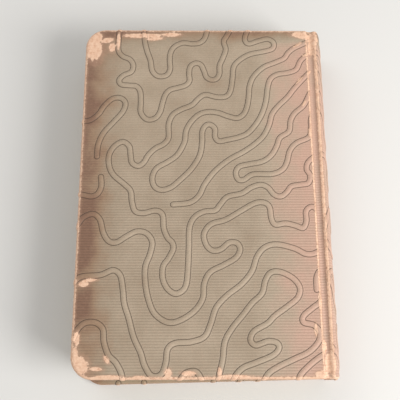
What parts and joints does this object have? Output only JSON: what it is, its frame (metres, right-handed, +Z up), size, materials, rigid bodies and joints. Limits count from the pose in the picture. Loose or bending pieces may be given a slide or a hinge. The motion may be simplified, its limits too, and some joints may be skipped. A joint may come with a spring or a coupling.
{
  "type": "hardback book",
  "caption": "Closed hardback book in worn embossed leather with rounded fore-edge corners, two hinged covers, a rounded spine and a solid text block.",
  "frame": {"origin": "on the front cover's outer face, which the book lies on, midway between the fore-edge and the spine at mid height", "axes": "+X towards the spine, +Y towards the head, +Z up through the thickness"},
  "size_m": [0.1353, 0.1935, 0.03],
  "materials": {
    "cover_leather": "grained and embossed, worn and rubbed",
    "leaves": "aged uncoated paper, cut edges",
    "endpaper": "aged smooth paper",
    "board": "dense binder's board",
    "spine_card": "stiff manila card",
    "mull": "open cotton cloth under glue",
    "headband": "woven cotton bead"
  },
  "bodies": {
    "book_block": {"text_block": "leaves", "back_flyleaf": "endpaper", "front_flyleaf": "endpaper", "mull": "mull", "head_band": "headband", "tail_band": "headband", "spine_card": "spine_card", "spine_leather": "cover_leather"},
    "back_cover": {"back_board": "board", "back_cover_leather": "cover_leather", "back_pastedown": "endpaper"},
    "front_cover": {"front_board": "board", "front_cover_leather": "cover_leather", "front_pastedown": "endpaper"}
  },
  "joints": [
    {"name": "back_cover_hinge", "type": "hinge", "parent": "book_block", "child": "back_cover", "pos_m": [0.05898, 0, 0.03], "axis": [0, 1, 0], "range_deg": [0, 180]},
    {"name": "front_cover_hinge", "type": "hinge", "parent": "book_block", "child": "front_cover", "pos_m": [0.05898, 0, 0], "axis": [0.0218, -0.9998, 0], "range_deg": [0, 180]}
  ]
}
